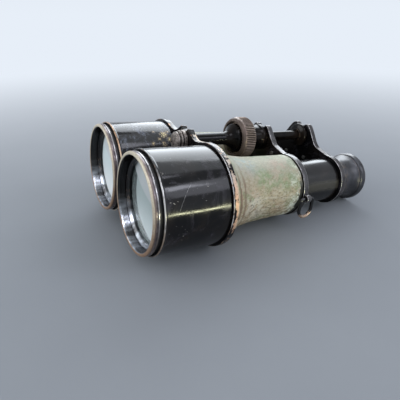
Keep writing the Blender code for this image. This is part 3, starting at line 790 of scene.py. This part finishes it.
def wire_mesh(route, radius, around=20):
    """A closed wire along a route of points in mm, in the plane x = 0."""
    p = np.array(route, float)
    tangent = np.roll(p, -1, 0) - np.roll(p, 1, 0)
    tangent /= np.linalg.norm(tangent, axis=1)[:, None]
    side = np.array([1.0, 0, 0])
    up = np.cross(tangent, side)
    angle = np.linspace(0, 2 * math.pi, around, endpoint=False)
    ring = p[:, None] + radius * (
        np.cos(angle)[None, :, None] * side + np.sin(angle)[None, :, None] * up[:, None]
    )
    points = ring.reshape(-1, 3)
    faces = []
    for i in range(len(p)):
        n = (i + 1) % len(p)
        for k in range(around):
            m = (k + 1) % around
            faces.append([i * around + k, i * around + m, n * around + m, n * around + k])
    return points, faces


# ---------------------------------------------------------------- the looks

# Centre in mm from the barrel's axis and radius
SCUFF_PLACES = (((28.3, 9.5, 12.0), 2.8), ((19.5, 7.5, 23.8), 2.4), ((29.3, 17.0, -9.0), 2.2),
                ((25.5, 30.0, 17.5), 1.6))


def scuffs(look):
    """Clusters of short scratches on the left hood."""
    ticks = look.ramp(look.cells(0.8, place=look.stretched(1.0, 0.4, 1.7, 0.8)), 0.22, 0.12)
    places = [look.near(point, radius, 1.2, ragged=2.0) for point, radius in SCUFF_PLACES]
    area = places[0]
    for place in places[1:]:
        area = look.most(area, place)
    share = look.mul(look.mul(area, ticks), look.ramp(look.noise(0.7, 3), 0.42, 0.52))
    return share, (0.52, 0.49, 0.42), 0.35, 0.3


HOOD_NEAR = enamel("look_hood_enamel_left", wear=0.2, marks=0.6, smudge=1.0, brown=0.6,
                   zones=[haze_and_sheen, long_scratch, scuffs, lip_wear_and_highlight])
HOOD_FAR = enamel(
    "look_hood_enamel_right", wear=0.2, marks=0.5, smudge=1.0, mottle=1.0, zones=[warm_lip],
    patches=[((16.5, 38.0, 26.0), 3.2), ((19.5, 34.0, 24.0), 1.6), ((14.5, 41.5, 27.3), 1.4),
             ((20.0, 41.5, 23.5), 2.2), ((22.5, 36.5, 21.2), 2.0), ((22.0, 28.5, 21.8), 1.5), ((14.0, 31.5, 27.5), 1.1)],
)
CELL = enamel("look_cell_enamel", wear=0.1, gloss=0.09, level=0.5, marks=0.3,
              zones=[painted_reflection_wall, rim_side, rim_face])
RETAINER = enamel("look_retainer_enamel", wear=0.0, gloss=0.09, level=0.5, marks=0.2, zones=[painted_reflection_wall])
FRONT_PLATE = enamel("look_front_bridge_enamel", wear=0.1, gloss=0.16, zones=[front_wear_and_painted_light])
PLATE = enamel("look_bridge_enamel", wear=-0.4, gloss=0.16, brown=1.0, level=0.55,
               zones=[haze_and_sheen, grey_wall, bevel_wear_and_highlight])
EYE_PLATE = enamel("look_eyepiece_bridge_enamel", wear=-0.4, gloss=0.2, level=0.2,
                   zones=[haze_and_sheen, dull_wall, bevel_wear_and_highlight])
TUBE = enamel("look_tube_enamel", wear=0.1, gloss=0.21, brown=0.85, marks=0.15, smudge=0.8, level=0.5,
              zones=[tube_brown_band])
COLUMN = enamel("look_column_enamel", wear=0.2, gloss=0.11, brown=0.8, marks=0.5, level=0.12)
FINIAL = enamel("look_finial_enamel", wear=1.3, wear_colours=((0.36, 0.32, 0.29), (0.17, 0.14, 0.12)),
                gloss=0.22)
WIRE = enamel("look_ring_enamel", wear=0.5, wear_colours=((0.36, 0.22, 0.14), (0.48, 0.42, 0.37)), gloss=0.16,
              wear_scale=0.25, level=0.6)
LEATHER = leather()
BRONZE = bronze()
EBONITE = ebonite()
STEEL = steel()
NEAR_GLASS = glass("look_objective_glass_left", 0.90, ((19.5, 9.5), 32.0))
FAR_GLASS = glass("look_objective_glass_right", 0.97, ((7.0, 3.0), 31.0), (0.80, 0.90, 0.90),
                  (0.97, 1.0, 0.99))
FLINT_GLASS = glass("look_flint_glass", 0.05)
EYE_GLASS = glass("look_eye_glass", 0.05)
PAINT = blackened("look_inside_paint")
BARREL = blackened("look_barrel_paint", from_object=False)
BRASS = brass_inside("look_inside_brass")
FELT = felt()

# What stays as the CAD has it: pieces inside, which show only through the lenses or when something slides
for node_name, kept in frame["nodes"].items():
    if node_name.startswith("guide_lining"):
        finish = FELT
    elif node_name.startswith("light_stop"):
        finish = PAINT
    else:
        finish = BRASS
    kept.data.materials.clear()
    kept.data.materials.append(finish)


# ---------------------------------------------------------------- objectives and hoods

HOOD_FRONT, HOOD_REAR, HOOD_RADIUS = 4.3, 45.2, 31.0
LENS_RADIUS = 25.9


def objective(label, x, front_glass):
    at = (x, 0, 0)
    thread = [(y, 27.46 + 0.055 * math.cos(2 * math.pi * y / 0.8)) for y in np.linspace(4.0, 0.0, 41)]
    cell = [
        (-1.2, 28.3), (-1.2, 29.2), (-0.95, 29.75), (-0.5, 30.0), (0.1, 30.1), (0.9, 30.1), (1.1, 29.75),
        (1.35, 29.75), (1.55, 30.1), (2.3, 30.1), (2.3, 28.5), (16.3, 28.5), (16.3, 24.4), (14.3, 24.4),
        (14.3, 26.2), (7.3, 26.2), (7.3, 27.4), *thread, (-0.7, 27.8),
    ]
    piece(f"objective_cell_{label}", lathed("cell", cell, 0.12, 200), CELL, "barrels", at)
    retainer = [
        (4.0, 26.2), (4.0, 27.1), (7.0, 27.1), (7.0, 24.6), (5.5, 24.6), (5.3, 24.9), (5.0, 25.0), (4.8,
                                                                                                    25.5),
        (4.5, 25.6), (4.3, 26.1),
    ]
    piece(f"objective_retainer_{label}", lathed("retainer", retainer, 0.12, 200), RETAINER, "barrels",
          at)
    reach = np.linspace(0, LENS_RADIUS, 26)
    curve = (reach / LENS_RADIUS) ** 2
    front = [(7.6 - 3.0 * (1 - c), r) for c, r in zip(curve, reach)]
    joint = [(9.0 + 3.05 * (1 - c), r) for c, r in zip(curve, reach)]
    crown = lathed("crown", front + joint[::-1], 0.1, 160)
    piece(f"objective_crown_lens_{label}", crown, front_glass, "barrels", at)
    flint = [(y + 0.3, r) for y, r in joint] + [(14.0, LENS_RADIUS), (14.0, 0)]
    piece(f"objective_flint_lens_{label}", lathed("flint", flint, 0.1, 160), FLINT_GLASS, "barrels",
          at)


def barrel(label, x):
    """The brass body: a neck behind the objective's ring, a step in the front bridge, and the flare."""
    flare = [(y, float(cover_radius(y)) - 1.3) for y in np.linspace(49.7, 108.8, 24)]
    tube = [
        (2.6, 29.4), (6.5, 29.4), (6.5, 30.0), (45.2, 30.0), (45.2, 29.2), (49.7, 29.2), *flare,
        *[(y, r - 0.9) for y, r in flare[::-1]], (48.8, 28.3), (43.7, 28.3), (43.7, 28.85), (2.6, 28.85),
    ]
    piece(f"barrel_{label}", lathed("barrel", tube, 0.1, 160), BARREL, "barrels",
          (x, 0, 0))


def hood(label, x, finish):
    """The sliding sunshade, with a rolled lip. It is slightly out of round, like any handled thin tube."""
    def dented(y, r, edge, angle):
        wave = 0.035 * np.sin(3 * angle + 0.12 * y) + 0.025 * np.sin(5 * angle - 0.2 * y + 1)
        return y, r + wave * np.clip((y - 6) / 8, 0, 1) * np.clip((HOOD_REAR - y) / 4, 0, 1), edge
    inside, lip = HOOD_RADIUS - 0.6, HOOD_RADIUS + 0.3
    profile = [
        (HOOD_FRONT, inside), (HOOD_FRONT, lip - 0.1), (HOOD_FRONT + 0.4, lip), (HOOD_FRONT + 1.1, lip),
        (HOOD_FRONT + 1.5, lip - 0.15), (HOOD_FRONT + 1.8, HOOD_RADIUS), (HOOD_REAR, HOOD_RADIUS),
        (HOOD_REAR, inside),
    ]
    mesh = lathed("hood", profile, 0.14, 240, dented, 2.0)
    piece(f"sunshade_{label}", mesh, finish, f"sunshade_{label}", (x, 0, 0))


# ---------------------------------------------------------------- leather, bridges

def cover_radius(y):
    return 20.95 + 7.05 * np.exp((51.0 - y) / 13.5)


def cover(label, x):
    """The leather: it lies a little unevenly, and its front and rear edges are not cut quite straight."""
    first, last = 50.0, 109.1

    def laid(y, r, edge, angle):
        outer = np.clip((r - cover_radius(y) + 0.5) * 4, 0, 1)
        wave = (0.10 * np.sin(2 * angle + 0.09 * y + 1) + 0.07 * np.sin(5 * angle - 0.23 * y)
                + 0.05 * np.sin(9 * angle + 0.6 * y))
        rear = np.clip((y - 106.5) / 2, 0, 1) * (0.35 * np.sin(7 * angle) * np.sin(3 * angle + 1) - 0.2)
        return y + rear, r + (wave - 0.16) * outer, edge

    along = np.linspace(first, last, 40)
    skin = [(y, cover_radius(y) - 0.02) for y in along]
    profile = skin + [(y, r - 0.95) for y, r in skin[::-1]]
    mesh = lathed("cover", profile, 0.25, 220, laid)
    piece(f"leather_cover_{label}", mesh, LEATHER, "barrels", (x, 0, 0))


FRONT_CREST = [
    (0, 6.6), (2.4, 7.2), (4.8, 8.9), (7.2, 7.6), (9.8, 5.8), (12.7, 4.4), (16.1, 3.7), (21.0, 4.2),
]
FRONT_WAIST = [(12.5, -25.8), (6.5, -21.6), (0, -20.2)]
MIDDLE_CREST = [
    (0, 7.4), (2.6, 7.8), (5.4, 9.6), (8.0, 8.3), (11.2, 4.4), (14.4, 0.8), (17.6, -2.0), (22.5, -3.8),
]
MIDDLE_WAIST = [(13.7, -10.9), (7.4, -7.6), (0, -6.6)]
EYE_CREST = [
    (0, 7.6), (2.6, 8.0), (5.6, 9.6), (8.4, 8.5), (11.6, 4.9), (14.4, 0.9), (17.2, -2.7), (21.0, -5.3), (26.0,
                                                                                                         -6.6),
]
EYE_WAIST = [(16.6, -9.2), (9.0, -5.6), (0, -4.4)]
# Where each plate starts and ends along y, and where its screw is (x, z)
FRONT_SPAN, MIDDLE_SPAN, EYE_SPAN = (45.5, 49.4), (109.4, 113.4), (149.9, 153.9)
MIDDLE_SCREW, EYE_SCREW = (17.0, 18.6), (10.1, 10.2)


def bridge(node, ring, hole, hub, crest, waist, span, screw_places, finish, body):
    outlines = [bridge_outline(ring, crest, waist), circle((0, COLUMN_Z), hub, 64)]
    for side in SIDES.values():
        outlines.append(circle((side * BARREL_X, 0), hole, 160))
        outlines += [circle((side * x, z), 1.0, 24) for x, z in screw_places]
    mesh = plate_mesh(node, outlines, *span)
    piece(node, mesh, finish, body)


def screw(node, x, z, span, body):
    """A cheese-headed screw."""
    front, rear = span
    head = front - 0.3
    profile = [(head - 0.9, 0), (head - 0.9, 1.4), (head, 1.4), (head, 0.7), (rear, 0.7), (rear, 0)]
    mesh = lathed(node, profile, 0.12, 40)
    piece(node, mesh, STEEL, body, (x, 0, z))


# ---------------------------------------------------------------- column, wheel

def column():
    at = (0, 0, COLUMN_Z)
    bore = 3.8
    bell = smooth([(76.0, 4.3), (78.6, 4.8), (80.8, 6.0), (82.4, 7.6), (83.6, 9.3)], 4)
    tube = [(41.0, bore), (41.0, 4.3), *bell, (84.6, 10.1), (87.4, 10.2), (87.4, bore)]
    piece("column_tube", lathed("tube", tube, 0.2, 96), COLUMN, "barrels", at)
    finial = [
        (37.6, 0), (37.65, 2.6), (37.9, 4.2), (38.5, 5.4), (39.3, 6.0), (40.1, 6.0), (40.5, 5.4), (41.0, 5.4),
        (41.4, 6.5), (42.2, 6.7), (42.6, 5.9), (43.0, 5.9), (43.4, 6.9), (45.2, 7.1), (45.2, 4.6), (40.6,
                                                                                                    4.6),
        (40.6, 0),
    ]
    piece("column_finial", lathed("finial", finial, 0.2, 96), FINIAL, "barrels", at)
    bearing = [
        (95.8, bore), (95.8, 8.5), (98.2, 8.5), (98.5, 8.1), (99.1, 8.1), (99.4, 8.5), (104.9, 8.5), (105.8,
                                                                                                      8.8),
        (106.4, 9.3), (109.1, 9.3), (109.1, bore),
    ]
    piece("wheel_bearing", lathed("bearing", bearing, 0.2, 96), COLUMN, "barrels", at)


TEETH = 72


def wheel():
    """The focus wheel: a smooth rounded front shoulder, and a straight knurl that runs out on it."""
    at = (0, 0, COLUMN_Z)
    radius = 14.6

    def knurled(y, r, edge, angle):
        tooth = np.abs(((angle * TEETH / (2 * math.pi)) % 1) * 2 - 1)
        start = 86.7 + 0.5 * np.abs(np.sin(angle * 9)) + 0.3 * np.sin(angle * 31)
        depth = 0.45 * np.clip((y - start) / 1.2, 0, 1) * np.clip((95.45 - y) / 0.35, 0, 1) * (r > 13.2)
        cut = depth * np.clip(1.25 * tooth - 0.12, 0, 1)
        crest = 0.66 - 2.1 * np.clip(1.25 * tooth - 0.12, 0, 1)
        return y, r - cut, edge + (crest - edge) * np.clip(depth / 0.45, 0, 1)

    shoulder = smooth([(85.15, 13.1), (85.5, 13.55), (86.4, 14.1), (87.6, 14.45), (88.7, radius)], 4)
    profile = [
        (88.1, 6.3), (88.1, 11.6), (85.3, 11.6), (85.1, 11.9), (85.1, 12.75), *shoulder,
        (94.9, radius), (95.5, 14.0), (95.5, 6.3),
    ]
    mesh = lathed("wheel", profile, 0.2, TEETH * 8, knurled, 0.7, sharp=55)
    piece("focus_wheel", mesh, BRONZE, "focus_wheel", at)


# ---------------------------------------------------------------- eyepieces

def eyepiece(label, x):
    at = (x, 0, 0)
    tube = [(76.0, 15.0), (76.0, 15.8), (149.6, 15.8), (149.6, 15.0)]
    piece(f"draw_tube_{label}", lathed("draw", tube, 0.12, 180), TUBE, "eyepieces", at)
    cup = [
        (154.2, 13.6), (154.2, 15.5), (156.3, 15.5), (156.8, 15.1), (158.4, 14.85), (160.5, 14.8), (162.8,
                                                                                                    14.85),
        (165.0, 15.0), (167.4, 15.3), (169.4, 15.75), (171.0, 16.35), (171.6, 16.7), (172.0, 16.4), (172.5,
                                                                                                     17.15),
        (173.2, 17.55), (174.3, 17.82), (176.0, 17.9), (176.75, 17.75), (177.0, 17.3), (177.0, 16.8), (176.4,
                                                                                                       16.3),
        (175.0, 15.6), (172.0, 14.6), (169.0, 13.6), (165.5, 12.6), (162.0, 11.6), (158.6, 10.2), (157.3,
                                                                                                   9.6),
        (157.3, 13.6),
    ]
    piece(f"eyecup_{label}", lathed("cup", cup, 0.3, 160), EBONITE, "eyepieces", at)
    reach = np.linspace(0, 10.7, 14)
    dip = [1.1 * (1 - (r / 10.7) ** 2) for r in reach]
    lens = [(150.1 + d, r) for d, r in zip(dip, reach)] + [(154.0 - d, r) for d,
                                                           r in zip(dip[::-1], reach[::-1])]
    piece(f"eye_lens_{label}", lathed("eye_lens", lens, 0.1, 96), EYE_GLASS, "eyepieces", at)


def spindle():
    at = (0, 0, COLUMN_Z)
    rod = [(76.0, 0), (76.0, 3.5), (149.6, 3.5), (149.6, 2.4), (156.6, 2.4), (156.6, 0)]
    piece("focus_spindle", lathed("rod", rod, 0.15, 72), COLUMN, "eyepieces", at)
    boss = [
        (149.6, 3.8), (149.6, 8.8), (148.2, 8.8), (147.7, 8.6), (147.3, 8.0), (147.1, 7.0), (147.0, 5.6),
        (146.8, 4.9), (145.9, 4.8), (145.9, 3.8),
    ]
    piece("spindle_boss", lathed("boss", boss, 0.2, 96), COLUMN, "eyepieces", at)
    cap = [
        (156.9, 0), (156.9, 2.7), (154.2, 2.7), (154.2, 5.2), (156.2, 5.2), (157.2, 4.8), (158.0,
                                                                                           3.9), (158.45,
                                                                                                  2.2),
        (158.6, 0),
    ]
    piece("spindle_cap_nut", lathed("cap", cap, 0.2, 72), COLUMN, "eyepieces", at)


# ---------------------------------------------------------------- strap rings and sleeves

def strap(label, side):
    pivot_x, pivot_z, middle = side * (BARREL_X + 23.6), -1.5, 111.4
    foot = side * (BARREL_X + 21.8 + 0.3)
    rounded_end = [
        (pivot_x + side * 2.5 * math.cos(a), pivot_z + 2.5 * math.sin(a))
        for a in np.linspace(-math.pi / 2, math.pi / 2, 28)
    ]
    lug = rounded_end + [(foot, pivot_z + 2.5), (foot, pivot_z - 2.5)]
    mesh = plate_mesh("lug", [lug, circle((pivot_x, pivot_z), 1.45, 32)], 109.7, 113.1, 0.3)
    piece(f"strap_lug_{label}", mesh, PLATE, "barrels")
    bow, drop, corner = 5.25, 13.1, 1.6
    bow_centre = -(drop - bow)
    bar = [(0, y, 0) for y in np.linspace(-bow + corner, bow - corner, 8)]
    elbow = [
        (0, bow - corner * (1 - math.sin(a)), -corner * (1 - math.cos(a))) for a in np.linspace(0,
                                                                                                math.pi / 2,
                                                                                                10)
    ]
    run = [(0, bow, z) for z in np.linspace(-corner, bow_centre, 10)[1:-1]]
    arch = [
        (0, bow * math.cos(a), bow_centre - bow * math.sin(a)) for a in np.linspace(0, math.pi, 40)
    ]
    route = bar[:-1] + elbow + run + arch
    route += [(0, -y, z) for _, y, z in run[::-1]] + [(0, -y, z) for _, y, z in elbow[:0:-1]]
    points, faces = wire_mesh(route, 1.15)
    low = np.clip((-points[:, 2] - 7.5) / 6, 0, 1)
    mesh = mesh_from("ring", points, faces, 0.1 + 1.1 * low)
    piece(f"strap_ring_{label}", mesh, WIRE, f"strap_ring_{label}", (pivot_x, middle, pivot_z))


def sleeve(label, x):
    """The draw tube's guide, whose flange shows behind the middle bridge."""
    profile = [
        (84.0, 17.0), (84.0, 18.2), (113.7, 18.2), (113.7, 19.2), (114.4, 19.2), (114.8, 18.8), (114.8, 16.1),
        (113.7, 16.1), (113.7, 17.0),
    ]
    piece(f"draw_tube_guide_{label}", lathed("sleeve", profile, 0.15, 160), PLATE, "barrels",
          (x, 0, 0))


for side_label, side_sign in SIDES.items():
    offset = side_sign * BARREL_X
    objective(side_label, offset, NEAR_GLASS if side_sign > 0 else FAR_GLASS)
    barrel(side_label, offset)
    hood(side_label, offset, HOOD_NEAR if side_sign > 0 else HOOD_FAR)
    cover(side_label, offset)
    eyepiece(side_label, offset)
    strap(side_label, side_sign)
    sleeve(side_label, offset)
    screw(f"middle_bridge_screw_{side_label}_1", side_sign * MIDDLE_SCREW[0], MIDDLE_SCREW[1], MIDDLE_SPAN,
          "barrels")
    screw(f"eyepiece_bridge_screw_{side_label}_1", side_sign * EYE_SCREW[0], EYE_SCREW[1], EYE_SPAN,
          "eyepieces")
bridge("front_bridge", 32.6, 29.5, 4.6, FRONT_CREST, FRONT_WAIST, FRONT_SPAN, [], FRONT_PLATE, "barrels")
bridge("middle_bridge", 21.8, 18.5, 3.8, MIDDLE_CREST, MIDDLE_WAIST, MIDDLE_SPAN, [MIDDLE_SCREW], PLATE,
       "barrels")
bridge("eyepiece_bridge", 18.4, 13.6, 2.7, EYE_CREST, EYE_WAIST, EYE_SPAN, [EYE_SCREW], EYE_PLATE,
       "eyepieces")
column()
wheel()
spindle()


# ---------------------------------------------------------------- floor, light and camera

HORIZON = (0.80, 0.86, 0.94)


def floor():
    look = Look("look_floor", from_object=True)
    grain = look.noise(0.02, 3)
    look.set(Base_Color=look.mix(grain, (0.34, 0.36, 0.385), (0.37, 0.39, 0.415)), Roughness=0.8)
    # Far away the floor fades into the wall, which the studio's pale light stands for
    wall = look.add("ShaderNodeEmission")
    look.link(HORIZON, wall.inputs["Color"])
    fade = look.add("ShaderNodeMixShader")
    look.shader.inputs["Specular IOR Level"].default_value = 0.0
    look.link(look.near((110, -70, 0), 560, 440), fade.inputs[0])
    look.link(wall.outputs[0], fade.inputs[1])
    look.link(look.shader.outputs[0], fade.inputs[2])
    look.link(fade.outputs[0], look.tree.nodes["Material Output"].inputs["Surface"])
    mesh = bpy.data.meshes.new("floor")
    reach = 6.0
    mesh.from_pydata([(-reach, -reach, 0), (reach, -reach, 0), (reach, reach, 0), (-reach, reach, 0)], [],
                     [(0, 1, 2, 3)])
    made = bpy.data.objects.new("floor", mesh)
    mesh.materials.append(look.material)
    bpy.context.scene.collection.objects.link(made)


def softbox(name, azimuth, elevation, distance, width, height, radiance, colour, shine_only=True):
    """A flat light that faces the glasses. Azimuth 0 is +Y and 90 is +X. Most are only seen as reflections."""
    lamp = bpy.data.lights.new(name, "AREA")
    lamp.shape = "RECTANGLE"
    lamp.size, lamp.size_y = width, height
    lamp.color = colour
    lamp.energy = radiance * math.pi * width * height
    made = bpy.data.objects.new(name, lamp)
    a, e = math.radians(azimuth), math.radians(elevation)
    towards = Vector((math.sin(a) * math.cos(e), math.cos(a) * math.cos(e), math.sin(e)))
    made.location = Vector(LIT_POINT) + towards * distance
    made.rotation_mode = "QUATERNION"
    made.rotation_quaternion = towards.to_track_quat("Z", "Y")
    made.visible_camera = False
    made.visible_diffuse = not shine_only
    bpy.context.scene.collection.objects.link(made)


def sky():
    """Pale light from all round, a little brighter and bluer low down."""
    world = bpy.data.worlds.new("studio")
    bpy.context.scene.world = world
    world.use_nodes = True
    tree = world.node_tree
    position = tree.nodes.new("ShaderNodeTexCoord")
    split = tree.nodes.new("ShaderNodeSeparateXYZ")
    tree.links.new(position.outputs["Generated"], split.inputs[0])
    band = tree.nodes.new("ShaderNodeMapRange")
    tree.links.new(split.outputs["Z"], band.inputs["Value"])
    band.inputs["From Min"].default_value = 0.0
    band.inputs["From Max"].default_value = 0.9
    blend = tree.nodes.new("ShaderNodeMix")
    blend.data_type = "RGBA"
    tree.links.new(band.outputs[0], blend.inputs[0])
    blend.inputs[6].default_value = (*HORIZON, 1)
    blend.inputs[7].default_value = (0.50, 0.52, 0.56, 1)
    tree.links.new(blend.outputs[2], tree.nodes["Background"].inputs["Color"])
    tree.nodes["Background"].inputs["Strength"].default_value = 1.0


def camera():
    lens = bpy.data.cameras.new("camera")
    lens.sensor_width = 36.0
    lens.lens = 33.08
    lens.clip_start, lens.clip_end = 0.005, 50
    made = bpy.data.objects.new("camera", lens)
    forward = Vector((-0.77883, 0.43426, -0.45259)).normalized()
    right = Vector((0.4905, 0.87141, -0.00796))
    right = (right - forward * right.dot(forward)).normalized()
    up = right.cross(forward)
    made.matrix_world = Matrix((
        (right.x, up.x, -forward.x, 0.211573), (right.y, up.y, -forward.y, -0.144252),
        (right.z, up.z, -forward.z, 0.134002), (0, 0, 0, 1),
    ))
    bpy.context.scene.collection.objects.link(made)
    bpy.context.scene.camera = made


floor()
sky()
WHITE, COOL, BLUISH = (0.95, 0.98, 1.0), (0.88, 0.94, 1.0), (0.86, 0.88, 1.0)
# Azimuth, elevation, distance, width, height, radiance and colour
softbox("back_window", -48, 32, 1.2, 0.90, 0.95, 4.6, COOL)
softbox("back_key", -48, 36, 1.2, 0.90, 0.80, 1.7, COOL, shine_only=False)
softbox("ceiling", -8, 58, 1.2, 0.60, 0.50, 1.4, COOL)
softbox("side_window", 53, 38, 1.2, 0.20, 0.13, 9.0, BLUISH)
softbox("side_high", 48, 62, 1.2, 0.50, 0.22, 6.0, BLUISH)
softbox("front_high", 128, 60, 1.2, 0.50, 0.45, 5.0, BLUISH)
softbox("side_glow", 49, 32, 1.1, 0.50, 0.40, 2.8, BLUISH, shine_only=False)
softbox("front_fill", -155, 25, 1.2, 0.80, 0.60, 2.2, WHITE, shine_only=False)
softbox("front_low", -143, 7, 1.2, 0.55, 0.24, 3.6, WHITE)
softbox("strip", 66, -7.5, 0.2, 0.125, 0.006, 58.0, (1.0, 1.0, 0.66))
camera()
bpy.context.scene.view_settings.view_transform = "Standard"
